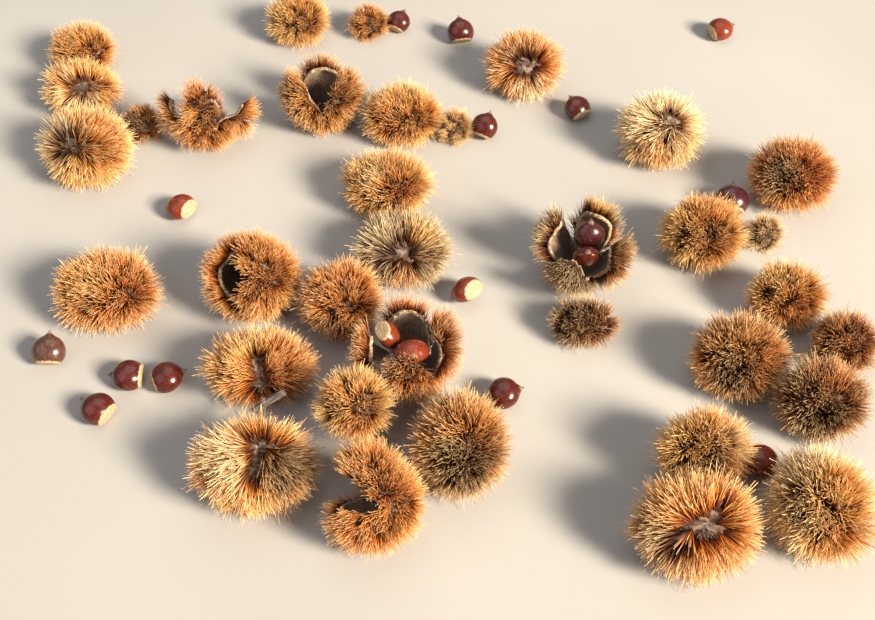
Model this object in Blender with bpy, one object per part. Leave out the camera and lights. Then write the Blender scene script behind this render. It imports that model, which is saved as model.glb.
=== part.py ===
# Sweet chestnuts lying on the ground: spiny burs, some whole and some split open into
# valves, with ripe nuts loose between them and nuts still sitting in two open burs.
# Metres, +Z up. The ground is Z = 0, and the origin is under the middle of the group.

import math

import bmesh
import bpy
from mathutils import Matrix, Vector

mm = 0.001

# Driving dimensions. Burs are given by their size from spine tip to spine tip.
SPINE_INTERLOCK = 7 * mm      # outermost length of the spines, which mesh with the next bur's
FOOT_SHARE = 0.16             # part of a bur's half height that is pressed flat on the ground
BUR_SEGMENTS = 12
BUR_RINGS = 8

OPEN_WALL = 12 * mm           # husk and the stiff inner length of its spines
OPEN_SEGMENTS = 16
OPEN_RINGS = 10
SLIT_START = math.radians(50)     # how far up from the base the valves are still joined
TIP_CUT = math.radians(160)       # where the valves end
VALVE_FULLNESS = 1.2              # widens each valve, which narrows the slits beside it
BEND_SPAN = math.radians(70)      # length of husk over which a valve bends outwards

NUT_WIDTH = 28 * mm           # across the rounded belly
NUT_HEIGHT = 26 * mm          # hilum to tip
NUT_THICKNESS = 19 * mm       # flat side to round side
NUT_SEGMENTS = 12
NUT_RINGS = 8
HILUM_LEVEL = -0.75           # where the hilum cuts the round form, as a share of its half height
TIP_LEVEL = 1.16              # height of the pointed tip, as a share of the half height
FLAT_SIDE = 0.70              # how full the flatter side is against the round one

STALK_RADIUS = 3.2 * mm

# Colours (linear) and roughness of the dry husks and the nut shells
TONES = {
    "straw": (0.62, 0.42, 0.16),
    "gold": (0.52, 0.27, 0.07),
    "orange": (0.48, 0.18, 0.04),
    "rust": (0.34, 0.11, 0.03),
    "grey_brown": (0.25, 0.17, 0.10),
    "mahogany": (0.10, 0.015, 0.008),
    "bark": (0.20, 0.17, 0.14),
}
HUSK_ROUGHNESS = 0.8
NUT_ROUGHNESS = 0.25


def clear_scene():
    for item in list(bpy.data.objects):
        bpy.data.objects.remove(item, do_unlink=True)


def make_collection(name):
    collection = bpy.data.collections.new(name)
    bpy.context.scene.collection.children.link(collection)
    return collection


def make_material(name, tone, roughness):
    material = bpy.data.materials.new(name)
    material.use_nodes = True
    shader = material.node_tree.nodes["Principled BSDF"]
    shader.inputs["Base Color"].default_value = (*TONES[tone], 1.0)
    shader.inputs["Roughness"].default_value = roughness
    shader.inputs["Metallic"].default_value = 0.0
    return material


def make_object(name, shape, material):
    bmesh.ops.recalc_face_normals(shape, faces=shape.faces[:])
    mesh = bpy.data.meshes.new(name)
    shape.to_mesh(mesh)
    shape.free()
    mesh.shade_smooth()
    mesh.set_sharp_from_angle(angle=math.radians(40))
    mesh.materials.append(material)
    item = bpy.data.objects.new(name, mesh)
    item.parent = ground
    chestnuts.objects.link(item)
    return item


def leaning(turn, lean):
    # Tips the +Z axis over by lean degrees, towards the compass direction turn
    # (0 is +X, 90 is +Y).
    axis = Vector((-math.sin(math.radians(turn)), math.cos(math.radians(turn)), 0))
    return Matrix.Rotation(math.radians(lean), 4, axis)


def press_on_ground(shape):
    # Cuts off what would be below the ground and closes the flat foot.
    geometry = shape.verts[:] + shape.edges[:] + shape.faces[:]
    bmesh.ops.bisect_plane(shape, geom=geometry, dist=1e-6, plane_co=(0, 0, 0),
                           plane_no=(0, 0, -1), clear_outer=True)
    rim = [edge for edge in shape.edges if edge.is_boundary]
    if rim:
        bmesh.ops.holes_fill(shape, edges=rim, sides=0)


def smooth_step(value):
    value = min(max(value, 0.0), 1.0)
    return value * value * (3 - 2 * value)


def closed_bur(name, tone, x, y, width, depth, height, lift=0):
    # A whole bur: a rounded spiny ball, flat where it rests.
    half = Vector((width, depth, height)) * mm / 2 - Vector((1, 1, 1)) * SPINE_INTERLOCK
    rise = lift * mm + half.z * (1 - FOOT_SHARE)
    shape = bmesh.new()
    bmesh.ops.create_uvsphere(shape, u_segments=BUR_SEGMENTS, v_segments=BUR_RINGS, radius=1)
    bmesh.ops.transform(shape, matrix=Matrix.Diagonal((*half, 1)), verts=shape.verts)
    bmesh.ops.translate(shape, vec=(x * mm, y * mm, rise), verts=shape.verts)
    press_on_ground(shape)
    return make_object(name, shape, make_material(name, tone, HUSK_ROUGHNESS))


def open_bur(name, tone, x, y, hollow, opening, spin, turn, lean, rise, segments=OPEN_SEGMENTS):
    # A split bur: one husk whose valves are joined round the base and bend outwards
    # from there. The inner wall is a sphere of radius hollow before the valves open.
    valves = len(opening)
    column = 2 * math.pi / segments
    columns_per_valve = segments // valves
    valve_angle = 2 * math.pi / valves
    shape = bmesh.new()
    bmesh.ops.create_uvsphere(shape, u_segments=segments, v_segments=OPEN_RINGS, radius=1)

    def angles(point):
        around = math.atan2(point.y, point.x) % (2 * math.pi)
        up_from_base = math.acos(max(-1.0, min(1.0, -point.normalized().z)))
        return around, up_from_base

    waste = []
    for face in shape.faces:
        around, up = angles(face.calc_center_median())
        in_slit = int(around / column) % columns_per_valve == columns_per_valve - 1
        if up > TIP_CUT or (in_slit and up > SLIT_START):
            waste.append(face)
    bmesh.ops.delete(shape, geom=waste, context="FACES")

    for vert in shape.verts:
        around, up = angles(vert.co)
        if up < SLIT_START:
            continue
        valve = int((around + column / 4) / valve_angle) % valves
        middle = valve * valve_angle + column * (columns_per_valve - 1) / 2
        off_middle = (around - middle + math.pi) % (2 * math.pi) - math.pi
        widened = middle + off_middle * VALVE_FULLNESS
        level = vert.co.z
        reach = math.hypot(vert.co.x, vert.co.y)
        vert.co = Vector((math.cos(widened) * reach, math.sin(widened) * reach, level))
        outward = Vector((math.cos(middle), math.sin(middle), 0))
        hinge = outward * math.sin(SLIT_START) - Vector((0, 0, math.cos(SLIT_START)))
        bend = math.radians(opening[valve]) * smooth_step((up - SLIT_START) / BEND_SPAN)
        swing = Matrix.Rotation(bend, 4, Vector((0, 0, 1)).cross(outward))
        vert.co = hinge + swing @ (vert.co - hinge)

    bmesh.ops.scale(shape, vec=(hollow * mm,) * 3, verts=shape.verts)
    bmesh.ops.recalc_face_normals(shape, faces=shape.faces[:])
    if sum(face.normal.dot(face.calc_center_median()) for face in shape.faces) < 0:
        bmesh.ops.reverse_faces(shape, faces=shape.faces[:])
    bmesh.ops.solidify(shape, geom=shape.faces[:], thickness=-OPEN_WALL)
    place = Matrix.Translation((x * mm, y * mm, rise * mm)) @ leaning(turn, lean)
    place = place @ Matrix.Rotation(math.radians(spin), 4, "Z")
    bmesh.ops.transform(shape, matrix=place, verts=shape.verts)
    press_on_ground(shape)
    return make_object(name, shape, make_material(name, tone, HUSK_ROUGHNESS))


def nut(name, x, y, turn, lean, roll=0, size=1.0, rise=None):
    # A ripe nut: round belly, one flatter side, flat hilum below and a pointed tip above.
    # turn and lean tip its point over. A nut that lies down has its round side up, and
    # roll turns it from there about its own axis. Without a rise it lies on the ground.
    shape = bmesh.new()
    bmesh.ops.create_uvsphere(shape, u_segments=NUT_SEGMENTS, v_segments=NUT_RINGS, radius=1)
    for vert in shape.verts:
        if vert.co.z > 0.99:
            vert.co.z = TIP_LEVEL
        vert.co.z = max(vert.co.z, HILUM_LEVEL)
        if vert.co.y < 0:
            vert.co.y *= FLAT_SIDE
    half = (NUT_WIDTH / 2, NUT_THICKNESS / (1 + FLAT_SIDE), NUT_HEIGHT / (TIP_LEVEL - HILUM_LEVEL))
    bmesh.ops.transform(shape, matrix=Matrix.Diagonal((*half, 1)), verts=shape.verts)
    bmesh.ops.scale(shape, vec=(size, size, size), verts=shape.verts)
    pose = leaning(turn, lean) @ Matrix.Rotation(math.radians(turn + 90 + roll), 4, "Z")
    bmesh.ops.transform(shape, matrix=pose, verts=shape.verts)
    if rise is None:
        level = -min(vert.co.z for vert in shape.verts)
    else:
        level = rise * mm
    bmesh.ops.translate(shape, vec=(x * mm, y * mm, level), verts=shape.verts)
    return make_object(name, shape, make_material(name, "mahogany", NUT_ROUGHNESS))


def stalk(name, start, end):
    # A short woody stalk, a round rod between two points.
    curve = bpy.data.curves.new(name, "CURVE")
    curve.dimensions = "3D"
    curve.bevel_depth = STALK_RADIUS
    curve.bevel_resolution = 2
    curve.use_fill_caps = True
    line = curve.splines.new("POLY")
    line.points.add(1)
    for point, place in zip(line.points, (start, end)):
        point.co = (*[value * mm for value in place], 1)
    curve.materials.append(make_material(name, "bark", HUSK_ROUGHNESS))
    item = bpy.data.objects.new(name, curve)
    item.parent = ground
    chestnuts.objects.link(item)


clear_scene()
chestnuts = make_collection("sweet_chestnuts")
ground = bpy.data.objects.new("ground_centre", None)
chestnuts.objects.link(ground)

# The heap at the back left
closed_bur("bur_back_left_1", "gold", -333, 196, 82, 66, 60)
closed_bur("bur_back_left_2", "gold", -344, 258, 74, 66, 56)
closed_bur("bur_back_left_3", "orange", -309, 104, 92, 88, 76)
closed_bur("bur_back_left_4", "grey_brown", -269, 153, 46, 44, 42)
open_bur("open_bur_back_left", "orange", -204, 144, hollow=19, opening=(55, 10, 45, 35),
         spin=-34, turn=90, lean=55, rise=28)

# The row at the back middle
closed_bur("bur_back_middle_1", "gold", -129, 305, 72, 66, 60)
closed_bur("bur_back_middle_2", "gold", -56, 310, 48, 46, 44)
closed_bur("bur_back_middle_3", "gold", -18, 154, 86, 74, 64)
closed_bur("bur_back_middle_4", "straw", 32, 148, 39, 42, 42)
closed_bur("bur_back_middle_5", "gold", -30, 61, 92, 80, 62)
closed_bur("bur_back_middle_6", "grey_brown", -14, -21, 90, 80, 66)
open_bur("open_bur_back_middle", "gold", -94, 172, hollow=21, opening=(12, 26, 22),
         spin=42, turn=90, lean=14, rise=29, segments=18)

# Scattered at the back right
closed_bur("bur_back_right_1", "orange", 102, 226, 84, 78, 72)
closed_bur("bur_back_right_2", "straw", 225, 125, 86, 82, 78)
closed_bur("bur_back_right_3", "orange", 338, 68, 86, 78, 74)
closed_bur("bur_back_right_4", "gold", 247, -3, 82, 78, 70)
closed_bur("bur_back_right_5", "straw", 305, 7, 38, 38, 42)
closed_bur("bur_back_right_6", "rust", 137, -96, 64, 50, 46)
open_bur("open_bur_back_right", "orange", 140, -31, hollow=22, opening=(24, 26, 28, 24),
         spin=30, turn=-90, lean=14, rise=31)

# On the left
closed_bur("bur_left", "gold", -261, -68, 98, 84, 68)
closed_bur("bur_middle", "rust", -65, -79, 76, 78, 68)
open_bur("open_bur_left", "gold", -136, -63, hollow=23, opening=(12, 14),
         spin=-91, turn=225, lean=50, rise=33)

# The heap at the front left
closed_bur("bur_front_left_1", "gold", -125, -151, 98, 72, 72)
closed_bur("bur_front_left_2", "gold", -120, -244, 104, 84, 80)
closed_bur("bur_front_left_3", "orange", -47, -197, 66, 64, 60, lift=20)
closed_bur("bur_front_left_4", "gold", 34, -226, 80, 92, 82)
open_bur("open_bur_front_left_1", "rust", -6, -145, hollow=23, opening=(24, 26, 28, 22),
         spin=60, turn=150, lean=14, rise=33)
open_bur("open_bur_front_left_2", "gold", -28, -276, hollow=21, opening=(30, 15),
         spin=-29, turn=182, lean=75, rise=29)

# The heap on the right
closed_bur("bur_right_1", "gold", 308, -72, 72, 66, 62)
closed_bur("bur_right_2", "rust", 347, -121, 60, 60, 58)
closed_bur("bur_right_3", "gold", 256, -141, 86, 80, 72)
closed_bur("bur_right_4", "orange", 314, -182, 80, 74, 70)

# The three at the front right
closed_bur("bur_front_right_1", "orange", 200, -296, 102, 84, 82)
closed_bur("bur_front_right_2", "straw", 215, -232, 80, 66, 80)
closed_bur("bur_front_right_3", "straw", 293, -278, 84, 94, 80)

# Nuts loose on the ground
nut("nut_back_left", -216, 43, turn=150, lean=100)
nut("nut_left_1", -232, -147, turn=180, lean=85)
nut("nut_left_2", -202, -149, turn=20, lean=80)
nut("nut_left_3", -251, -180, turn=150, lean=80)
nut("nut_left_4", -301, -124, turn=90, lean=60)
nut("nut_back_middle_1", -25, 316, turn=60, lean=60, size=0.9)
nut("nut_back_middle_2", 40, 297, turn=100, lean=50)
nut("nut_back_middle_3", 61, 150, turn=60, lean=50, size=0.95)
nut("nut_back_right_1", 153, 179, turn=120, lean=70, size=0.95)
nut("nut_back_right_2", 311, 304, turn=20, lean=80)
nut("nut_back_right_3", 283, 50, turn=80, lean=70, size=1.12)
nut("nut_middle_1", 41, -59, turn=140, lean=126)
nut("nut_middle_2", 68, -165, turn=10, lean=75)
nut("nut_front_right", 262, -228, turn=200, lean=80)

# Nuts still sitting in the open burs
nut("nut_in_back_right_bur_1", 145, -23, turn=90, lean=10, roll=10, size=0.95, rise=42)
nut("nut_in_back_right_bur_2", 141, -44, turn=-90, lean=20, size=0.85, rise=36)
nut("nut_in_front_left_bur_1", -4, -152, turn=-80, lean=50, size=1.0, rise=44)
nut("nut_in_front_left_bur_2", -24, -134, turn=18, lean=150, size=0.9, rise=44)

# The stalk that two of the front left burs share
stalk("shared_stalk", (-124, -205, 38), (-99, -196, 53))
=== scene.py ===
import bisect
import math
import random

import bmesh
import bpy
import numpy as np
from mathutils import Matrix, Vector, noise


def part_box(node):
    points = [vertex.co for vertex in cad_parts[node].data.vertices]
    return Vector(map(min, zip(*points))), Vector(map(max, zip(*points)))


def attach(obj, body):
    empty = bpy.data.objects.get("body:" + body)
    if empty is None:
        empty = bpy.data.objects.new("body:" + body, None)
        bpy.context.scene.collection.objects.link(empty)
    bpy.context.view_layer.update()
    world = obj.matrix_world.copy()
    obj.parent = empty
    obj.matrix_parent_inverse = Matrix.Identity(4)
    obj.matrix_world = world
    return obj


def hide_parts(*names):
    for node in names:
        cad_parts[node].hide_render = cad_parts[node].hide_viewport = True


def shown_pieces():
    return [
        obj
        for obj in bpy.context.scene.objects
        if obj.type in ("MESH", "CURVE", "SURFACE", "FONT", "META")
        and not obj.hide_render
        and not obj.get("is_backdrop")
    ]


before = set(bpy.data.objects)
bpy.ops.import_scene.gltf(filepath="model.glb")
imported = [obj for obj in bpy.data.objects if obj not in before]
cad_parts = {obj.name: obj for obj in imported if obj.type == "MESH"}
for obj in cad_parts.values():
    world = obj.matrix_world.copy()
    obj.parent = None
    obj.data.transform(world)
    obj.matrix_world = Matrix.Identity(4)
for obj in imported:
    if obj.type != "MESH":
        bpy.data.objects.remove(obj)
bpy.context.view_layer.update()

mm = 0.001
noise.seed_set(7)  # or noise vectors differ from run to run

# Colours of dry sweet chestnut spines, from bleached to weathered; the darker tones also serve as
# painted shade on burs that lie in shadow.
tones = {
    "cream": "#fae3b8",
    "straw": "#f0c375",
    "gold": "#e79d3a",
    "orange": "#d67f28",
    "rust": "#a8601f",
    "grey": "#8f7d66",
    "brown": "#5c381c",
}


def toLinear(hexColour):
    parts = [int(hexColour[i:i + 2], 16) / 255 for i in (1, 3, 5)]
    return [c / 12.92 if c <= 0.04045 else ((c + 0.055) / 1.055) ** 2.4 for c in parts] + [1]


def addNode(tree, kind, settings=None, links=None):
    node = tree.nodes.new("ShaderNode" + kind)
    for key, value in (settings or {}).items():
        if key == "stops":  # colour ramp: (position, colour) for each stop
            elements = node.color_ramp.elements
            while len(elements) < len(value):
                elements.new(0.5)
            for element, (position, colour) in zip(elements, value):
                element.position = position
                element.color = toLinear(colour)
        else:
            setattr(node, key, value)
    for socket, value in (links or {}).items():
        if isinstance(value, bpy.types.NodeSocket):
            tree.links.new(value, node.inputs[socket])
        else:
            node.inputs[socket].default_value = value
    return node


def newMaterial(name, **shader):
    material = bpy.data.materials.new(name)
    material.use_nodes = True
    tree = material.node_tree
    tree.nodes.clear()
    settings = {key.replace("_", " "): value for key, value in shader.items()}
    surface = addNode(tree, "BsdfPrincipled", links=settings)
    addNode(tree, "OutputMaterial", links={"Surface": surface.outputs[0]})
    return material, tree, surface


def finishSurface(tree, surface, colour, roughness, height, strength, distance):
    tree.links.new(colour, surface.inputs["Base Color"])
    tree.links.new(roughness, surface.inputs["Roughness"])
    sockets = {"Height": height, "Strength": strength, "Distance": distance}
    bump = addNode(tree, "Bump", links=sockets)
    tree.links.new(bump.outputs[0], surface.inputs["Normal"])


def noiseAt(tree, place, scale, detail, roughness=0.5):
    sockets = {"Vector": place, "Scale": scale, "Detail": detail, "Roughness": roughness}
    return addNode(tree, "TexNoise", links=sockets).outputs["Fac"]


def mapped(tree, value, target, source=(0, 1)):
    # Carries the source span over to the target span and holds it there.
    sockets = {"Value": value, "From Min": source[0], "From Max": source[1],
               "To Min": target[0], "To Max": target[1]}
    return addNode(tree, "MapRange", links=sockets).outputs["Result"]


def ramp(tree, share, *stops):
    return addNode(tree, "ValToRGB", {"stops": stops}, {"Fac": share}).outputs["Color"]


def attribute(tree, name, output="Fac"):
    return addNode(tree, "Attribute", {"attribute_name": name}).outputs[output]


def objectPlace(tree):
    return addNode(tree, "TexCoord").outputs["Object"]


def stretched(tree, place, scale):
    return addNode(tree, "Mapping", links={"Vector": place, "Scale": scale}).outputs["Vector"]


def heightOf(tree, place):
    return addNode(tree, "SeparateXYZ", links={"Vector": place}).outputs["Z"]


def calculate(tree, operation, *values):
    return addNode(tree, "Math", {"operation": operation}, dict(enumerate(values))).outputs[0]


def mix(tree, share, first, second, kind="RGBA", how="MIX"):
    settings = {"data_type": kind, "blend_type": how}
    sockets = {"Factor": share, "A": first, "B": second}
    return addNode(tree, "Mix", settings, sockets).outputs["Result"]


def spineMaterial():
    # Dry lignified needles: silky straw fibre, dark where they leave the skin, which is painted
    # shade of the gaps between them, and bleached at the points, with a soft gleam along each one.
    material, tree, surface = newMaterial("dry needle fibre", IOR=1.4)
    place = objectPlace(tree)
    along = attribute(tree, "along")
    # Painted shade: the dark stops near the root stand for the shade between crowded needles.
    depth = ramp(tree, along, (0, "#301909"), (0.3, "#835a33"), (0.6, "#efe0cc"),
                 (0.85, "#ffffff"))
    patchy = mapped(tree, noiseAt(tree, place, 90, 3), (0.82, 1.15), (0.35, 0.65))
    each = mapped(tree, attribute(tree, "shade"), (0.6, 1.3))
    light = calculate(tree, "MULTIPLY", patchy, each)
    body = mix(tree, 1, attribute(tree, "tint", "Color"), depth, how="MULTIPLY")
    body = mix(tree, 1, body, light, how="MULTIPLY")
    point = mapped(tree, along, (0, 0.64), (0.6, 1))
    colour = mix(tree, point, body, toLinear("#ffe3ae"))
    # Fibre lines are about 0.1 mm apart, drawn at 0.6 mm so that they show.
    fibre = noiseAt(tree, place, 1600, 2)
    rough = mapped(tree, fibre, (0.38, 0.6))
    finishSurface(tree, surface, colour, rough, fibre, strength=0.25, distance=0.0002)
    return material


def skinMaterial():
    # Leathery outer skin of the bur: dull grey-brown, cracked and felted between needles,
    # greyer and smoother where the stalk left its scar.
    material, tree, surface = newMaterial("weathered bur skin", IOR=1.45)
    place = objectPlace(tree)
    mottle = noiseAt(tree, place, 170, 6, 0.65)
    skin = ramp(tree, mottle, (0.3, "#2a1a10"), (0.48, "#4d3524"), (0.6, "#7a6350"),
                (0.75, "#a8917a"))
    scar = ramp(tree, mottle, (0.35, "#2e2520"), (0.5, "#6d5d52"), (0.65, "#a6958a"))
    colour = mix(tree, attribute(tree, "bare"), skin, scar)
    # Felt and cracks are about 1 mm across.
    felt = noiseAt(tree, place, 900, 4)
    rough = mapped(tree, felt, (0.7, 0.95))
    finishSurface(tree, surface, colour, rough, felt, strength=0.7, distance=0.0008)
    return material


def liningMaterial():
    # Silky lining of an opened bur: flattened hairs that run up each valve, beige at the lip and
    # darker towards the base in painted shade of the cup, with a faint satin gleam.
    material, tree, surface = newMaterial("silky bur lining", IOR=1.45, Sheen_Weight=0.3)
    local = attribute(tree, "cup", "Vector")
    # Hairs are finer than 0.1 mm, drawn about 0.8 mm apart.
    hairs = noiseAt(tree, stretched(tree, local, (26, 26, 3.2)), 1, 5)
    # Painted shade: the lining darkens towards the base of the cup.
    paintedCupShade = mapped(tree, heightOf(tree, local), (0.0, 0.42), (-1, 0.7))
    mixed = calculate(tree, "MULTIPLY_ADD", hairs, 0.62, paintedCupShade)
    colour = ramp(tree, mixed, (0.2, "#1d130d"), (0.42, "#453227"), (0.6, "#7b6553"),
                  (0.82, "#b89f80"))
    rough = mapped(tree, hairs, (0.5, 0.8))
    spots = noiseAt(tree, objectPlace(tree), 700, 2)
    height = calculate(tree, "MULTIPLY_ADD", spots, 0.3, hairs)
    finishSurface(tree, surface, colour, rough, height, strength=0.6, distance=0.0006)
    return material


def lipMaterial():
    # Torn edge of a valve: pale corky crust where the seam has parted.
    material, tree, surface = newMaterial("corky valve lip", IOR=1.45)
    crust = noiseAt(tree, objectPlace(tree), 420, 5)
    colour = ramp(tree, crust, (0.32, "#684f3a"), (0.5, "#a88b68"), (0.66, "#dac49d"))
    rough = mapped(tree, crust, (0.7, 0.95))
    finishSurface(tree, surface, colour, rough, crust, strength=0.8, distance=0.0008)
    return material


def shellMaterial(name, darkest, middle, brightest):
    # Ripe nut: a hard waxy shell that shines, with fine streaks from base to point, a
    # dull pale hilum below and grey down round the point.
    material, tree, surface = newMaterial(name, IOR=1.5, Coat_Weight=0.35, Coat_Roughness=0.08)
    local = attribute(tree, "kernel", "Vector")
    # Streaks on the shell are about 1 mm wide.
    streak = noiseAt(tree, stretched(tree, local, (15, 15, 1.5)), 1, 5, 0.6)
    shell = ramp(tree, streak, (0.22, darkest), (0.5, middle), (0.8, brightest))
    wobble = noiseAt(tree, local, 5, 4)
    edge = calculate(tree, "MULTIPLY_ADD", wobble, 0.12, heightOf(tree, local))
    hilum = mapped(tree, edge, (0, 1), (-0.56, -0.6))
    # Pits on the hilum are about 1 mm apart.
    pits = noiseAt(tree, local, 14, 5)
    base = ramp(tree, pits, (0.3, "#8d6f50"), (0.5, "#c0a07a"), (0.7, "#ddc4a0"))
    down = mapped(tree, edge, (0, 0.7), (1.06, 1.16))
    colour = mix(tree, down, mix(tree, hilum, shell, base), toLinear("#8f7458"))
    dull = calculate(tree, "MAXIMUM", hilum, down)
    rough = mix(tree, dull, mapped(tree, streak, (0.16, 0.34)), 0.85, kind="FLOAT")
    height = mix(tree, dull, streak, pits, kind="FLOAT")
    finishSurface(tree, surface, colour, rough, height, strength=0.12, distance=0.0006)
    return material


def barkMaterial():
    # Dead twig: fissured grey bark, with pale torn wood where it broke.
    material, tree, surface = newMaterial("dead grey bark", IOR=1.45)
    # Fissures run along the twig, about 1 mm apart.
    place = stretched(tree, attribute(tree, "grain", "Vector"), (900, 900, 130))
    grain = noiseAt(tree, place, 1, 5)
    bark = ramp(tree, grain, (0.3, "#2c2622"), (0.5, "#5c544d"), (0.7, "#8f867c"))
    torn = mapped(tree, attribute(tree, "along"), (0.9, 0), (0.0, 0.1))
    colour = mix(tree, torn, bark, toLinear("#e9e0d0"))
    rough = mapped(tree, grain, (0.75, 0.95))
    finishSurface(tree, surface, colour, rough, grain, strength=0.9, distance=0.001)
    return material


spineFinish = spineMaterial()
skinFinish = skinMaterial()
liningFinish = liningMaterial()
lipFinish = lipMaterial()
barkFinish = barkMaterial()
shellFinishes = {
    "mahogany": shellMaterial("glossy mahogany shell", "#1f0a07", "#4a1810", "#7c2c18"),
    "red": shellMaterial("glossy russet shell", "#43160c", "#7a2d15", "#a04c26"),
    "dark": shellMaterial("polished dark shell", "#1c0a0a", "#401a1c", "#642c2a"),
    "dull": shellMaterial("dusty brown shell", "#2b1813", "#553529", "#7c5b4c"),
}
print("materials ready")


def fromBmesh(name, mesh, materials):
    data = bpy.data.meshes.new(name)
    mesh.to_mesh(data)
    mesh.free()
    piece = bpy.data.objects.new(name, data)
    bpy.context.scene.collection.objects.link(piece)
    for material in materials:
        data.materials.append(material)
    return piece


def register(piece, slotName, *nodes):
    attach(piece, "root")
    if nodes:
        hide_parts(*nodes)


def leaning(turn, lean):
    # Tips up (+Z) over by lean degrees, towards compass direction turn.
    turn = math.radians(turn)
    return Matrix.Rotation(math.radians(lean), 4, Vector((-math.sin(turn), math.cos(turn), 0)))


# Cosine and sine of the 40 degrees by which the front view leans from straight down.
slope = {"cos": 0.766, "sin": 0.643}


def facing(right, up):
    # Direction from a bur's middle to a point on its near side, given as shares of
    # its radius to the right and up as the group is looked at from the front.
    near = math.sqrt(max(0.0, 1 - right * right - up * up))
    back = up * slope["cos"] - near * slope["sin"]
    return Vector((right, back, up * slope["sin"] + near * slope["cos"])).normalized()


def smoothStep(t):
    t = max(0.0, min(1.0, t))
    return t * t * (3 - 2 * t)


def makeBall(mesh, around, rings):
    # Unit ball. The operator lists its faces in another order each run, so everything
    # is put in order by ring and by angle.
    bmesh.ops.create_uvsphere(mesh, u_segments=around, v_segments=rings, radius=1)

    def cell(point):
        ring = math.acos(max(-1.0, min(1.0, -point.normalized().z))) * rings / math.pi
        return ring, math.atan2(point.y, point.x) / (2 * math.pi) * around % around

    def vertOrder(vert):
        ring, turn = cell(vert.co)
        isPole = round(ring) in (0, rings)
        return round(ring) * around + (0 if isPole else round(turn) % around)

    def edgeOrder(edge):
        ends = sorted(vert.index for vert in edge.verts)
        return ends[0] * len(mesh.verts) + ends[1]

    def faceOrder(face):
        ring, turn = cell(face.calc_center_median())
        return math.floor(ring) * around + math.floor(turn)

    mesh.verts.sort(key=vertOrder)
    mesh.verts.index_update()
    mesh.edges.sort(key=edgeOrder)
    mesh.edges.index_update()
    mesh.faces.sort(key=faceOrder)
    mesh.faces.index_update()


# Needles grow in branched tufts. Twelve tufts, one unit long, are turned and copied.
tuft = {"kinds": 12, "needles": 9, "splay": 27, "thick": 0.018, "point": 0.006,
        "lengths": (0.55, 1.0), "thickness": (0.8, 1.2), "splaying": (0.8, 1.15),
        "turn": 137.5, "turning": 20}


def makeTufts():
    dice = random.Random(5)
    made = []
    for kind in range(tuft["kinds"]):
        mesh = bmesh.new()
        along = mesh.verts.layers.float.new("along")
        shade = mesh.verts.layers.float.new("shade")
        for n in range(tuft["needles"]):
            length = dice.uniform(*tuft["lengths"])
            thick = tuft["thick"] * dice.uniform(*tuft["thickness"])
            new = bmesh.ops.create_cone(mesh, cap_ends=True, segments=3, radius1=thick,
                                        radius2=tuft["point"], depth=length)["verts"]
            value = dice.random()
            for vert in new:
                vert[along] = 1.0 if vert.co.z > 0 else 0.0
                vert[shade] = value
            splay = tuft["splay"] * math.sqrt((n + 0.3) / tuft["needles"])
            splay *= dice.uniform(*tuft["splaying"])
            around = n * tuft["turn"] + dice.uniform(-tuft["turning"], tuft["turning"])
            pose = leaning(around, splay) @ Matrix.Translation((0, 0, length / 2))
            pose = pose @ Matrix.Rotation(dice.uniform(0, 2), 4, "Z")
            bmesh.ops.transform(mesh, matrix=pose, verts=new)
        data = bpy.data.meshes.new("tuft_%d" % kind)
        mesh.to_mesh(data)
        mesh.free()
        made.append(data)
    return made


tufts = makeTufts()
lock = {"apart": 7.5, "pull": 0.55, "height": 1.1}  # apart in mm, the rest as shares
vertsPerTuft = len(tufts[0].vertices)
ground = 0.3 * mm  # nothing reaches lower than this


def gatherLocks(roots):
    # Neighbouring tufts lean together into locks, with dark gaps between them.
    knots = []
    for point, direction, length, felted in roots:
        if all((point - knot).length > lock["apart"] * mm for knot, tip in knots):
            knots.append((point, point + direction * length * lock["height"]))
    gathered = []
    for point, direction, length, felted in roots:
        knot, tip = min(knots, key=lambda pair: (point - pair[0]).length_squared)
        pulled = direction.lerp((tip - point).normalized(), lock["pull"]).normalized()
        gathered.append((point, pulled, length, felted))
    return gathered


def growNeedles(name, roots, tint):
    # Each root: point, direction, length and whether the tuft is felt.
    dice = random.Random(name)
    roots = gatherLocks(roots)
    mesh = bmesh.new()
    colours = []
    for point, direction, length, felted in roots:
        turn = direction.to_track_quat("Z", "Y").to_matrix().to_4x4()
        spin = Matrix.Rotation(dice.uniform(0, 2 * math.pi), 4, "Z")
        copied = dice.choice(tufts).copy()
        copied.transform(Matrix.Translation(point) @ turn @ spin @ Matrix.Scale(length, 4))
        mesh.from_mesh(copied)
        bpy.data.meshes.remove(copied)
        colours.append(tint(point, dice, felted))
    for vert in mesh.verts:
        vert.co.z = max(vert.co.z, ground)
    piece = fromBmesh(name, mesh, [spineFinish])
    values = np.repeat(np.array(colours, dtype=np.float32), vertsPerTuft, axis=0)
    layer = piece.data.attributes.new("tint", "FLOAT_COLOR", "POINT")
    layer.data.foreach_set("color", values.ravel())
    return piece


# Colour blotches a metre, how far chance shifts them, and spans of brightness.
tinted = {"blotches": 38, "shift": 0.35, "contrast": 1.1, "frayed": 0.18, "patch": 0.9,
          "brightness": (0.82, 1.15), "felt": (0.5, 1.3)}


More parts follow.
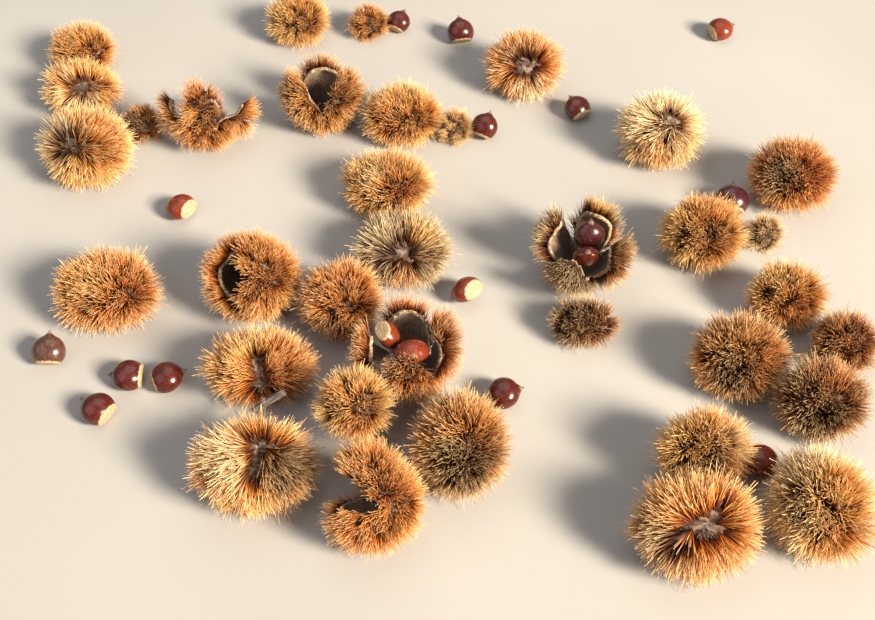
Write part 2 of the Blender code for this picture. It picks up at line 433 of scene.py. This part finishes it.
def tinter(look, centre):
    # Colour of the needles at a point: a base tone, a second tone in soft blotches and patches on
    # the near side, each a tone, right, up and reach. On some burs these tones and patches are
    # painted light and shade.
    def toneOf(name):
        return Vector(toLinear(tones[name])[:3])

    first, second = toneOf(look["tone"]), toneOf(look["second"])
    grey = toLinear(tones["grey"])[:3]
    patches = [(toneOf(name), facing(right, up), reach)
               for name, right, up, reach in look.get("patches", [])]

    def tint(point, dice, felted):
        if felted:
            return [c * dice.uniform(*tinted["felt"]) for c in grey] + [1.0]
        blotch = noise.noise(point * tinted["blotches"]) + tinted["shift"] * dice.uniform(-1, 1)
        colour = first.lerp(second, smoothStep(0.5 + blotch * tinted["contrast"]))
        offset = (point - centre).normalized()
        for patchColour, direction, reach in patches:
            gap = (offset - direction).length + tinted["frayed"] * dice.uniform(-1, 1)
            colour = colour.lerp(patchColour, tinted["patch"] * smoothStep(1.5 - gap / reach))
        colour = colour * dice.uniform(*tinted["brightness"])
        return [min(1.0, c) for c in colour] + [1.0]

    return tint


# What each whole bur looks like. The scar of its stalk and its seam lie on the near
# side and are given as shares of the radius to the right and up.
wholeBurs = {
    "bur_back_left_1": {"tone": "gold", "second": "straw", "scar": (0.2, 0.1),
                        "patches": [("cream", 0.3, -0.4, 0.6)]},
    "bur_back_left_2": {"tone": "gold", "second": "straw",
                        "patches": [("orange", 0.5, -0.5, 0.5)]},
    "bur_back_left_3": {"tone": "gold", "second": "straw", "scar": (-0.35, 0.12), "scarSize": 6,
                        "patches": [("orange", 0.7, 0.3, 0.5), ("grey", -0.6, 0.1, 0.5)]},
    # The rust tone and brown lower patch of this bur are painted shade: it lies in shadow.
    "bur_back_left_4": {"tone": "rust", "second": "gold",
                        "patches": [("brown", -0.3, -0.3, 0.7)]},
    "bur_back_middle_1": {"tone": "straw", "second": "gold"},
    "bur_back_middle_2": {"tone": "gold", "second": "orange"},
    "bur_back_middle_3": {"tone": "gold", "second": "straw",
                          "patches": [("orange", -0.3, -0.6, 0.6)]},
    "bur_back_middle_4": {"tone": "cream", "second": "straw"},
    "bur_back_middle_5": {"tone": "gold", "second": "straw",
                          "patches": [("cream", -0.5, 0.3, 0.5), ("orange", 0.4, -0.2, 0.5)]},
    "bur_back_middle_6": {"tone": "grey", "second": "brown", "scar": (0, 0.05), "scarSize": 6,
                          "patches": [("orange", 0.0, -0.9, 0.5), ("straw", 0.6, 0.3, 0.5),
                                      ("cream", -0.7, 0.4, 0.3)]},
    "bur_back_right_1": {"tone": "orange", "second": "gold", "scar": (0, -0.15), "scarSize": 7,
                         "seam": [(-0.15, -0.2), (0.3, -0.1)],
                         "patches": [("brown", -0.1, -0.1, 0.4), ("cream", 0.2, -0.75, 0.45)]},
    "bur_back_right_2": {"tone": "straw", "second": "cream", "scar": (0.25, 0.4),
                         "patches": [("gold", -0.3, -0.7, 0.5)]},
    # The brown patch on the left is painted shade, on the side turned from the light.
    "bur_back_right_3": {"tone": "gold", "second": "orange",
                         "patches": [("brown", -0.6, -0.1, 0.6)]},
    "bur_back_right_4": {"tone": "gold", "second": "straw",
                         "patches": [("rust", 0.1, -0.2, 0.5)]},
    "bur_back_right_5": {"tone": "straw", "second": "cream"},
    # The brown and rust tones of this bur are painted shade: it lies in shadow.
    "bur_back_right_6": {"tone": "brown", "second": "rust"},
    "bur_left": {"tone": "gold", "second": "orange",
                 "patches": [("straw", -0.3, 0.3, 0.7), ("orange", 0.5, -0.5, 0.5)]},
    "bur_middle": {"tone": "orange", "second": "gold", "patches": [("rust", -0.2, -0.8, 0.4)]},
    "bur_front_left_1": {"tone": "gold", "second": "orange", "scar": (0.08, -0.8),
                         "seam": [(0.08, -0.7), (0.02, 0.3)],
                         "patches": [("straw", -0.2, 0.7, 0.6)]},
    # The brown patch on the right is a painted shadow cast by a straw.
    "bur_front_left_2": {"tone": "gold", "second": "orange", "scar": (0.2, 0.8),
                         "seam": [(0.2, 0.8), (0.1, -0.1)],
                         "patches": [("cream", -0.5, 0.4, 0.7), ("brown", 0.75, 0.1, 0.6)]},
    "bur_front_left_3": {"tone": "gold", "second": "straw",
                         "patches": [("orange", 0.2, -0.7, 0.6)]},
    # The gold top and brown lower patch are painted light and shade, and the rust tone is painted
    # shade.
    "bur_front_left_4": {"tone": "rust", "second": "gold",
                         "patches": [("gold", 0, 0.65, 0.5), ("brown", 0, -0.6, 0.8)]},
    "bur_right_1": {"tone": "gold", "second": "straw", "patches": [("orange", 0.4, -0.5, 0.5)]},
    "bur_right_2": {"tone": "rust", "second": "orange"},
    # The straw top and brown lower patch are painted light and shade; the rust tone is painted
    # shade, as this bur lies in shade.
    "bur_right_3": {"tone": "rust", "second": "gold",
                    "patches": [("straw", -0.1, 0.6, 0.5), ("brown", -0.3, -0.5, 0.6)]},
    # The brown and rust tones of this bur are painted shade: it lies in shade.
    "bur_right_4": {"tone": "brown", "second": "rust", "patches": [("orange", 0.2, 0.7, 0.6)]},
    # The brown patch at the left is painted shade, under the ridge on the side turned from the
    # light.
    "bur_front_right_1": {"tone": "gold", "second": "orange", "scar": (0.1, 0.2), "scarSize": 6,
                          "seam": [(0.35, 0.45), (-0.45, -0.25)],
                          "patches": [("orange", 0.3, -0.6, 0.6), ("brown", -0.85, -0.2, 0.5)]},
    "bur_front_right_2": {"tone": "gold", "second": "straw",
                          "patches": [("cream", 0.6, 0.3, 0.5), ("brown", 0, -0.5, 0.6)]},
    "bur_front_right_3": {"tone": "cream", "second": "straw",
                          "patches": [("gold", 0.2, -0.85, 0.6), ("gold", 0.5, 0.75, 0.5)]},
}

# Lengths in mm, noise as (bumps a unit, strength), the turn in radians, and the rest as
# shares of the radius or of a needle's length.
grown = {
    "needle": 0.5, "reach": 9.5, "spacing": 3.0, "footShare": 0.84, "rooted": 0.6,
    "scarSize": 5, "hiddenScar": (0.25, 0.5, -0.83), "bareness": 0.9,
    "coarse": (4, 1.6), "fine": (14, 0.5), "dent": 1.2, "groove": 5.0, "grooveWidth": 3.2,
    "turn": 2.39996, "jitter": 0.05, "bald": -0.9,
    "felt": {"scar": 0.95, "seam": 2.4, "scarSkipped": 0.45, "seamSkipped": 0.85, "length": 0.34},
    "lean": 0.3, "scarLean": 1.1, "scarReach": 0.9, "wander": 0.13, "swirl": (2.3, 0.5),
    "parting": 0.3, "ragged": (2.6, 0.26), "strays": 0.07, "strayLength": 1.2,
    "longest": 1.25, "lengths": (0.8, 1.03),
}


def buildWholeBur(name, look):
    low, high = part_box(name)
    middle = (low + high) / 2
    if low.z > 0.5 * mm:
        halfHeight = (high.z - low.z) / 2
        centre = middle
    else:
        # A bur on the ground has a flat foot, so its middle is lower than its radius.
        halfHeight = high.z / (1 + grown["footShare"])
        centre = Vector((middle.x, middle.y, halfHeight * grown["footShare"]))
    reach = grown["reach"] * mm
    tip = Vector(((high.x - low.x) / 2 + reach, (high.y - low.y) / 2 + reach, halfHeight + reach))
    needle = grown["needle"] * (tip.x + tip.y + tip.z) / 3
    core = tip - Vector((needle, needle, needle))
    scar = facing(*look["scar"]) if "scar" in look else Vector(grown["hiddenScar"]).normalized()
    scarAngle = look.get("scarSize", grown["scarSize"]) * mm / core.x
    seam = [facing(*end) for end in look.get("seam", [])]

    def fromSeam(direction):
        # Offset on the unit ball from the seam, an arc between two directions.
        if not seam:
            return Vector((9, 0, 0))  # farther than any seam reaches
        along = seam[1] - seam[0]
        t = (direction - seam[0]).dot(along) / along.length_squared
        return direction - seam[0].lerp(seam[1], max(0.0, min(1.0, t))).normalized()

    mesh = bmesh.new()
    bmesh.ops.create_icosphere(mesh, subdivisions=5, radius=1)
    bare = mesh.verts.layers.float.new("bare")
    coarse, coarseHeight = grown["coarse"]
    fine, fineHeight = grown["fine"]
    for vert in mesh.verts:
        direction = vert.co.normalized()
        dent = smoothStep(1.3 - direction.angle(scar) / scarAngle)
        gap = fromSeam(direction).length * core.x
        groove = smoothStep(1 - gap / (grown["grooveWidth"] * mm))
        bumps = noise.noise(direction * coarse + centre * 40) * coarseHeight
        bumps += noise.noise(direction * fine) * fineHeight
        vert[bare] = dent * grown["bareness"]
        raised = bumps - grown["dent"] * dent - grown["groove"] * groove
        scaled = Vector([direction[k] * core[k] for k in range(3)])
        vert.co = centre + scaled * (1 + raised * mm / core.x)
        vert.co.z = max(vert.co.z, ground)
    husk = fromBmesh(name + ".skin", mesh, [skinFinish])
    husk.data.shade_smooth()
    register(husk, "dry_husk", name)

    dice = random.Random(name + "roots")
    felt = grown["felt"]
    swirl, swirled = grown["swirl"]
    ragged, raggedness = grown["ragged"]
    area = 4 * math.pi * (core.x * core.y + core.y * core.z + core.x * core.z) / 3
    count = int(area / (grown["spacing"] * mm) ** 2)

    def jitter():
        return dice.uniform(-grown["jitter"], grown["jitter"])

    roots = []
    for n in range(count):
        z = 1 - (2 * n + 1) / count
        around = n * grown["turn"] + jitter()
        flat = math.sqrt(1 - z * z)
        direction = Vector((flat * math.cos(around), flat * math.sin(around), z))
        direction = (direction + Vector([jitter() for k in range(3)])).normalized()
        angle = direction.angle(scar)
        aside = fromSeam(direction)
        woolly = angle < scarAngle * felt["scar"] or aside.length * core.x < felt["seam"] * mm
        skipped = felt["scarSkipped"] if angle < scarAngle else felt["seamSkipped"]
        if direction.z < grown["bald"] or (woolly and dice.random() < skipped):
            continue
        point = centre + Vector([direction[k] * core[k] for k in range(3)])
        normal = Vector([direction[k] / core[k] for k in range(3)]).normalized()
        away = (-scar + normal * scar.dot(normal)).normalized()
        lean = grown["lean"] + grown["scarLean"] * math.exp(-(angle / grown["scarReach"]) ** 2)
        wander = Vector([dice.gauss(0, grown["wander"]) for k in range(3)])
        drift = noise.noise_vector(direction * swirl + centre * 50) * swirled
        parting = aside.normalized() * math.exp(-(aside.length / grown["parting"]) ** 2)
        heading = (normal + away * lean + parting + wander + drift).normalized()
        # How far along the heading the tip ellipsoid is.
        p = point - centre
        a = sum((heading[k] / tip[k]) ** 2 for k in range(3))
        b = sum(p[k] * heading[k] / tip[k] ** 2 for k in range(3))
        c = sum((p[k] / tip[k]) ** 2 for k in range(3)) - 1
        far = (-b + math.sqrt(b * b - a * c)) / a
        uneven = 1 + raggedness * noise.noise(direction * ragged + centre * 30)
        stray = grown["strayLength"] if dice.random() < grown["strays"] else 1.0
        length = min(far, needle * grown["longest"]) * dice.uniform(*grown["lengths"])
        length = length * uneven * stray
        if woolly:
            length *= felt["length"]
        roots.append((point - normal * grown["rooted"] * mm, heading, length, woolly))
    needles = growNeedles(name + ".needles", roots, tinter(look, centre))
    register(needles, "dry_husk")


# Split burs: the valves are joined at the base and bend open from there. Places and
# sizes are in mm, angles in degrees, with one opening angle for each valve.
openBurs = {
    "open_bur_back_left": {
        "tone": "orange", "second": "gold", "x": -204, "y": 144, "rise": 28, "hollow": 19,
        "opening": (55, 10, 45, 35), "spin": -34, "turn": 90, "lean": 55},
    "open_bur_back_middle": {
        "tone": "gold", "second": "rust", "x": -94, "y": 172, "rise": 29, "hollow": 21,
        "opening": (12, 26, 22), "spin": 42, "turn": 90, "lean": 14, "columns": 18},
    # The grey tone of this bur is painted shade: it lies in shadow.
    "open_bur_back_right": {
        "tone": "grey", "second": "rust", "x": 140, "y": -31, "rise": 31, "hollow": 22,
        "opening": (24, 26, 28, 24), "spin": 30, "turn": -90, "lean": 14,
        "patches": [("straw", 0.3, 0.7, 0.6)]},
    "open_bur_left": {
        "tone": "gold", "second": "orange", "x": -136, "y": -63, "rise": 33, "hollow": 23,
        "opening": (12, 14), "spin": -91, "turn": 225, "lean": 50},
    "open_bur_front_left_1": {
        "tone": "rust", "second": "orange", "x": -6, "y": -145, "rise": 33, "hollow": 23,
        "opening": (24, 26, 28, 22), "spin": 60, "turn": 150, "lean": 14},
    "open_bur_front_left_2": {
        "tone": "gold", "second": "orange", "x": -28, "y": -276, "rise": 29, "hollow": 21,
        "opening": (30, 15), "spin": -29, "turn": 182, "lean": 75},
}

# Lengths in mm, angles in degrees, noise as (bumps a unit, strength), the rest shares.
split = {
    "columns": 16, "finer": 4, "rings": 36, "slitStart": 50, "tipCut": 166, "tipRound": 16,
    "fullness": 1.2, "bendSpan": 70, "smoothing": 2, "smooth": 0.3, "bumps": (3, 0.035),
    "wall": 3.0, "rooted": 0.6, "needle": 18, "lengths": (0.82, 1.08), "tries": 9,
    "nearest": 0.78, "wander": 0.14, "swirl": (60, 0.4), "away": 0.3, "ragged": (70, 0.16),
}


def buildOpenBur(name, look):
    valves = len(look["opening"])
    columns = look.get("columns", split["columns"])
    column = 2 * math.pi / columns
    perValve = columns // valves
    valveAngle = 2 * math.pi / valves
    slitStart = math.radians(split["slitStart"])
    mesh = bmesh.new()
    makeBall(mesh, columns * split["finer"], split["rings"])
    cup = mesh.verts.layers.float_vector.new("cup")

    def angles(point):
        # Angle round the cup, and angle up from its base.
        around = math.atan2(point.y, point.x) % (2 * math.pi)
        return around, math.acos(max(-1.0, min(1.0, -point.normalized().z)))

    waste = []
    for face in mesh.faces:
        around, up = angles(face.calc_center_median())
        share = (around / column) % perValve
        inSlit = share > perValve - 1
        # The tip of each valve is rounded off towards its slits.
        side = abs(share - (perValve - 1) / 2) / ((perValve - 1) / 2)
        cut = math.radians(split["tipCut"] - split["tipRound"] * side ** 2)
        if up > cut or (inSlit and up > slitStart):
            waste.append(face)
    bmesh.ops.delete(mesh, geom=waste, context="FACES")

    for vert in mesh.verts:
        vert[cup] = vert.co
        around, up = angles(vert.co)
        if up < slitStart:
            continue
        valve = int((around + column / 4) / valveAngle) % valves
        middle = valve * valveAngle + column * (perValve - 1) / 2
        offMiddle = (around - middle + math.pi) % (2 * math.pi) - math.pi
        widened = middle + offMiddle * split["fullness"]
        flat = math.hypot(vert.co.x, vert.co.y)
        vert.co = Vector((math.cos(widened) * flat, math.sin(widened) * flat, vert.co.z))
        outward = Vector((math.cos(middle), math.sin(middle), 0))
        hinge = outward * math.sin(slitStart) - Vector((0, 0, math.cos(slitStart)))
        bend = math.radians(look["opening"][valve])
        bend = bend * smoothStep((up - slitStart) / math.radians(split["bendSpan"]))
        swing = Matrix.Rotation(bend, 4, Vector((0, 0, 1)).cross(outward))
        vert.co = hinge + swing @ (vert.co - hinge)

    for turn in range(split["smoothing"]):
        bmesh.ops.smooth_vert(mesh, verts=mesh.verts, factor=split["smooth"],
                              use_axis_x=True, use_axis_y=True, use_axis_z=True)
    bumps, bumpHeight = split["bumps"]
    for vert in mesh.verts:
        vert.co *= 1 + bumpHeight * noise.noise(vert.co * bumps + Vector((look["x"], 0, 0)))
    bmesh.ops.scale(mesh, vec=(look["hollow"] * mm,) * 3, verts=mesh.verts)
    bmesh.ops.recalc_face_normals(mesh, faces=mesh.faces[:])
    if sum(face.normal.dot(face.calc_center_median()) for face in mesh.faces) < 0:
        bmesh.ops.reverse_faces(mesh, faces=mesh.faces[:])
    centre = Vector((look["x"] * mm, look["y"] * mm, look["rise"] * mm))
    place = Matrix.Translation(centre) @ leaning(look["turn"], look["lean"])
    place = place @ Matrix.Rotation(math.radians(look["spin"]), 4, "Z")
    bmesh.ops.transform(mesh, matrix=place, verts=mesh.verts)
    mesh.normal_update()

    # Tuft roots on the outer side: random points, none too near another.
    dice = random.Random(name + "roots")
    wall = split["wall"] * mm
    spacing = grown["spacing"] * mm
    swirl, swirled = split["swirl"]
    ragged, raggedness = split["ragged"]
    base = place @ Vector((0, 0, -look["hollow"] * mm))
    taken = {}
    roots = []
    faces = mesh.faces[:]
    areaSoFar = []
    total = 0.0
    for face in faces:
        total += face.calc_area()
        areaSoFar.append(total)
    for n in range(int(total / spacing ** 2 * split["tries"])):
        face = faces[min(len(faces) - 1, bisect.bisect(areaSoFar, dice.uniform(0, total)))]
        corners = [vert.co for vert in face.verts]
        shares = [dice.random() for corner in corners]
        point = sum((c * s for c, s in zip(corners, shares)), Vector()) / sum(shares)
        point = point + face.normal * (wall - split["rooted"] * mm)
        cell = tuple(int(math.floor(v / spacing)) for v in point)
        near = [q for i in (-1, 0, 1) for j in (-1, 0, 1) for k in (-1, 0, 1)
                for q in taken.get((cell[0] + i, cell[1] + j, cell[2] + k), [])]
        if any((q - point).length < spacing * split["nearest"] for q in near):
            continue
        taken.setdefault(cell, []).append(point)
        away = point - base
        away = (away - face.normal * away.dot(face.normal)).normalized()
        wander = Vector([dice.gauss(0, split["wander"]) for k in range(3)])
        drift = noise.noise_vector(point * swirl) * swirled
        heading = (face.normal + away * split["away"] + wander + drift).normalized()
        uneven = 1 + raggedness * noise.noise(point * ragged)
        length = split["needle"] * mm * dice.uniform(*split["lengths"]) * uneven
        roots.append((point, heading, length, False))

    # Thicken outwards: the first surface stays as the lining.
    shell = bmesh.ops.extrude_face_region(mesh, geom=mesh.faces[:], use_keep_orig=True)["geom"]
    outer = {part for part in shell if isinstance(part, bmesh.types.BMVert)}
    for vert in outer:
        vert.co += vert.normal * wall
    bmesh.ops.recalc_face_normals(mesh, faces=mesh.faces[:])
    for face in mesh.faces:
        # Outer faces are skin, inner ones lining, and those between them lip.
        count = sum(vert in outer for vert in face.verts)
        face.material_index = 0 if count == len(face.verts) else 1 if count == 0 else 2
    for vert in mesh.verts:
        vert.co.z = max(vert.co.z, ground)
    husk = fromBmesh(name + ".skin", mesh, [skinFinish, liningFinish, lipFinish])
    husk.data.shade_smooth()
    register(husk, "dry_husk", name)
    needles = growNeedles(name + ".needles", roots, tinter(look, centre))
    register(needles, "dry_husk")
    print(name, "tufts", len(roots))


# Places in mm. Each nut's tip leans towards its turn; one without a rise lies on the ground.
nuts = {
    "nut_back_left": {"x": -216, "y": 43, "turn": 150, "lean": 100, "shell": "red"},
    "nut_left_1": {"x": -232, "y": -147, "turn": 180, "lean": 85},
    "nut_left_2": {"x": -202, "y": -149, "turn": 20, "lean": 80},
    "nut_left_3": {"x": -251, "y": -180, "turn": 150, "lean": 80},
    "nut_left_4": {"x": -301, "y": -124, "turn": 90, "lean": 60, "shell": "dull"},
    "nut_back_middle_1": {"x": -25, "y": 316, "turn": 60, "lean": 60, "size": 0.9},
    "nut_back_middle_2": {"x": 40, "y": 297, "turn": 100, "lean": 50},
    "nut_back_middle_3": {"x": 61, "y": 150, "turn": 60, "lean": 50, "size": 0.95},
    "nut_back_right_1": {"x": 153, "y": 179, "turn": 120, "lean": 70, "size": 0.95},
    "nut_back_right_2": {"x": 311, "y": 304, "turn": 20, "lean": 80, "shell": "red"},
    "nut_back_right_3": {"x": 283, "y": 50, "turn": 80, "lean": 70, "size": 1.12,
                         "shell": "dark"},
    "nut_middle_1": {"x": 41, "y": -59, "turn": 140, "lean": 126, "shell": "red"},
    "nut_middle_2": {"x": 68, "y": -165, "turn": 10, "lean": 75},
    "nut_front_right": {"x": 262, "y": -228, "turn": 200, "lean": 80, "shell": "red"},
    "nut_in_back_right_bur_1": {"x": 145, "y": -23, "turn": 90, "lean": 10, "roll": 10,
                                "size": 0.95, "rise": 42, "shell": "dark"},
    "nut_in_back_right_bur_2": {"x": 141, "y": -44, "turn": -90, "lean": 20, "size": 0.85,
                                "rise": 36},
    "nut_in_front_left_bur_1": {"x": -4, "y": -152, "turn": -80, "lean": 50,
                                "rise": 44, "shell": "red"},
    "nut_in_front_left_bur_2": {"x": -24, "y": -134, "turn": 18, "lean": 150, "size": 0.9,
                                "rise": 44, "shell": "red"},
}

# Width, height and thickness in mm; the rest on the unit ball, before it is scaled.
kernel = {
    "width": 28, "height": 26, "thickness": 19, "hilum": -0.75, "tip": 1.16, "flat": 0.70,
    "flatEdge": 0.13, "shoulder": 0.9, "pinch": 0.25, "near": 0.06, "bulge": 0.06,
    "pits": (6, 0.02), "bumps": (2.2, 0.012), "around": 40, "rings": 36,
}
# Dried style bristles at the point, in the same units and in degrees.
bristle = {"count": 6, "thick": 0.022, "point": 0.008, "length": 0.22, "sunk": 0.04,
           "above": 0.09, "turn": 60, "turning": 15, "splay": (14, 34), "level": 1.3}


def buildNut(name, look):
    mesh = bmesh.new()
    makeBall(mesh, kernel["around"], kernel["rings"])
    local = mesh.verts.layers.float_vector.new("kernel")
    dice = random.Random(name)
    shift = Vector([dice.uniform(-9, 9) for k in range(3)])
    flat, hilum = kernel["flat"], kernel["hilum"]
    pits, pitHeight = kernel["pits"]
    bumps, bumpHeight = kernel["bumps"]
    for vert in mesh.verts:
        p = vert.co.copy()
        rise = smoothStep((p.z - kernel["shoulder"]) / 0.1)
        p.x *= 1 - kernel["pinch"] * rise
        if p.y < kernel["flatEdge"]:
            p.y *= flat + (1 - flat) * smoothStep(0.5 + p.y / 0.25)
        p.z += (kernel["tip"] - 1) * rise ** 2
        below = hilum - p.z
        if below > -kernel["near"]:
            pitted = pitHeight * noise.noise(p * pits + shift)
            p.z = hilum - kernel["bulge"] * max(0.0, below) + pitted
        p *= 1 + bumpHeight * noise.noise(p * bumps + shift)
        vert[local] = p
        vert.co = p
    for n in range(bristle["count"]):
        new = bmesh.ops.create_cone(mesh, cap_ends=True, segments=5, radius1=bristle["thick"],
                                    radius2=bristle["point"], depth=bristle["length"])["verts"]
        around = n * bristle["turn"] + dice.uniform(-bristle["turning"], bristle["turning"])
        pose = Matrix.Translation((0, 0, kernel["tip"] - bristle["sunk"]))
        pose = pose @ leaning(around, dice.uniform(*bristle["splay"]))
        pose = pose @ Matrix.Translation((0, 0, bristle["above"]))
        bmesh.ops.transform(mesh, matrix=pose, verts=new)
        for vert in new:
            vert[local] = Vector((0, 0, bristle["level"]))
    half = (kernel["width"] / 2 * mm, kernel["thickness"] / (1 + flat) * mm,
            kernel["height"] / (kernel["tip"] - hilum) * mm)
    bmesh.ops.scale(mesh, vec=half, verts=mesh.verts)
    bmesh.ops.scale(mesh, vec=(look.get("size", 1),) * 3, verts=mesh.verts)
    # The flat side is turned to face the ground, then rolled.
    roll = math.radians(look["turn"] + 90 + look.get("roll", 0))
    pose = leaning(look["turn"], look["lean"]) @ Matrix.Rotation(roll, 4, "Z")
    bmesh.ops.transform(mesh, matrix=pose, verts=mesh.verts)
    level = look["rise"] * mm if "rise" in look else ground - min(vert.co.z for vert in mesh.verts)
    bmesh.ops.translate(mesh, vec=(look["x"] * mm, look["y"] * mm, level), verts=mesh.verts)
    nut = fromBmesh(name + ".shell", mesh, [shellFinishes[look.get("shell", "mahogany")]])
    nut.data.shade_smooth()
    register(nut, "nut_shell", name)


# In mm and degrees, noise as (bumps a metre, strength), the rest shares.
stalk = {"start": (-124, -205, 38), "end": (-99, -196, 53), "radius": 3.2, "foot": 1.05,
         "top": 0.85, "cuts": 16, "rim": 0.6, "ridges": (900, 0.09), "stretch": 0.3,
         "lumps": (260, 0.12), "bow": 1.2, "split": (700, 1.6), "splitShare": 0.02}
# A side twig has snapped off near the lower end.
stub = {"foot": 2.6, "top": 1.9, "length": 7, "turn": 90, "lean": 62, "below": 0.12, "torn": 4}


def buildStalk():
    start, end = Vector(stalk["start"]) * mm, Vector(stalk["end"]) * mm
    length = (end - start).length
    mesh = bmesh.new()
    bmesh.ops.create_cone(mesh, cap_ends=True, segments=20, depth=length,
                          radius1=stalk["radius"] * mm * stalk["foot"],
                          radius2=stalk["radius"] * mm * stalk["top"])
    sides = [edge for edge in mesh.edges
             if abs(edge.verts[0].co.z - edge.verts[1].co.z) > length / 2]
    bmesh.ops.subdivide_edges(mesh, edges=sides, cuts=stalk["cuts"], use_grid_fill=True)
    caps = [face for face in mesh.faces if len(face.verts) > 4]
    bmesh.ops.inset_region(mesh, faces=caps, thickness=stalk["rim"] * mm)

    twig = bmesh.ops.create_cone(mesh, cap_ends=True, segments=14, radius1=stub["foot"] * mm,
                                 radius2=stub["top"] * mm, depth=stub["length"] * mm)["verts"]
    pose = leaning(stub["turn"], stub["lean"])
    pose = pose @ Matrix.Translation((0, 0, stub["length"] / 2 * mm))
    bmesh.ops.transform(mesh, matrix=pose, verts=twig)
    bmesh.ops.translate(mesh, vec=(0, 0, -length * stub["below"]), verts=twig)
    tornFrom = max(vert.co.y for vert in twig) - stub["torn"] * mm
    twig = set(twig)

    along = mesh.verts.layers.float.new("along")
    grain = mesh.verts.layers.float_vector.new("grain")
    ridges, ridgeHeight = stalk["ridges"]
    lumps, lumpHeight = stalk["lumps"]
    splits, splitHeight = stalk["split"]
    for vert in mesh.verts:
        share = vert.co.z / length + 0.5
        vert[grain] = vert.co
        if vert in twig:
            vert[along] = 0.0 if vert.co.y > tornFrom else 0.5
            continue
        vert[along] = share
        lengthwise = Vector((vert.co.x, vert.co.y, vert.co.z * stalk["stretch"]))
        ridge = noise.noise(lengthwise * ridges) * ridgeHeight
        ridge += noise.noise(vert.co * lumps) * lumpHeight
        vert.co.x *= 1 + ridge
        vert.co.y *= 1 + ridge
        vert.co.x += stalk["bow"] * mm * math.sin(share * math.pi)
        if share < stalk["splitShare"]:
            vert.co.z += splitHeight * mm * noise.noise(vert.co * splits)
    place = Matrix.Translation((start + end) / 2)
    place = place @ (end - start).to_track_quat("Z", "Y").to_matrix().to_4x4()
    bmesh.ops.transform(mesh, matrix=place, verts=mesh.verts)
    piece = fromBmesh("shared_stalk.bark", mesh, [barkFinish])
    piece.data.shade_smooth()
    register(piece, "woody_stalk", "shared_stalk")


for name, look in wholeBurs.items():
    buildWholeBur(name, look)
print("whole burs ready")
for name, look in openBurs.items():
    buildOpenBur(name, look)
print("open burs ready")
for name, look in nuts.items():
    buildNut(name, look)
buildStalk()
print("nuts and stalk ready")


floor = {"size": 6.0, "clouds": 3, "tones": ("#adaba6", "#b5b3ae")}


def buildStage():
    mesh = bmesh.new()
    bmesh.ops.create_grid(mesh, x_segments=1, y_segments=1, size=floor["size"] / 2)
    # A plain matt backing, very faintly clouded.
    material, tree, surface = newMaterial("pale matt backing", Roughness=0.9)
    cloud = noiseAt(tree, objectPlace(tree), floor["clouds"], 2)
    colour = ramp(tree, cloud, *zip((0.3, 0.7), floor["tones"]))
    tree.links.new(colour, surface.inputs["Base Color"])
    fromBmesh("floor", mesh, [material])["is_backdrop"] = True


# Square lamps that face the origin: place and size in metres, power in watts.
lamps = {
    "key": {"place": (5.0, -3.2, 3.75), "size": 1.9, "power": 1430, "tone": "#fff0dc"},
    "fill": {"place": (-1.2, -0.6, 1.3), "size": 1.6, "power": 6, "tone": "#f4f4ff"},
    "top": {"place": (0.0, 0.7, 1.7), "size": 1.6, "power": 8, "tone": "#fffaf2"},
}


def addLamp(name, lamp):
    light = bpy.data.lights.new(name, "AREA")
    light.shape = "SQUARE"
    light.size = lamp["size"]
    light.energy = lamp["power"]
    light.color = toLinear(lamp["tone"])[:3]
    holder = bpy.data.objects.new(name, light)
    holder.location = lamp["place"]
    holder.rotation_euler = (-Vector(lamp["place"])).to_track_quat("-Z", "Y").to_euler()
    bpy.context.scene.collection.objects.link(holder)


sky = {"tone": "#dfe3e8", "strength": 0.3}


def buildSky():
    world = bpy.data.worlds.new("studio")
    bpy.context.scene.world = world
    world.use_nodes = True
    background = world.node_tree.nodes["Background"]
    background.inputs["Color"].default_value = toLinear(sky["tone"])
    background.inputs["Strength"].default_value = sky["strength"]


# Lens and sensor in mm, place in metres, tilt in degrees from straight down.
eye = {"lens": 49.5, "sensor": 36, "nearest": 0.02, "place": (0.016, -0.7284, 0.7834),
       "tilt": 40}


def buildCamera():
    data = bpy.data.cameras.new("camera")
    data.lens = eye["lens"]
    data.sensor_width = eye["sensor"]
    data.clip_start = eye["nearest"]
    camera = bpy.data.objects.new("camera", data)
    camera.location = eye["place"]
    camera.rotation_euler = (math.radians(eye["tilt"]), 0, 0)
    bpy.context.scene.collection.objects.link(camera)
    bpy.context.scene.camera = camera


buildStage()
for name, lamp in lamps.items():
    addLamp(name, lamp)
buildSky()
bpy.context.scene.view_settings.view_transform = "Standard"
buildCamera()
print("stage ready")

meshes = [piece.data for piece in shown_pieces() if piece.type == "MESH"]
for data in meshes:
    data.calc_loop_triangles()
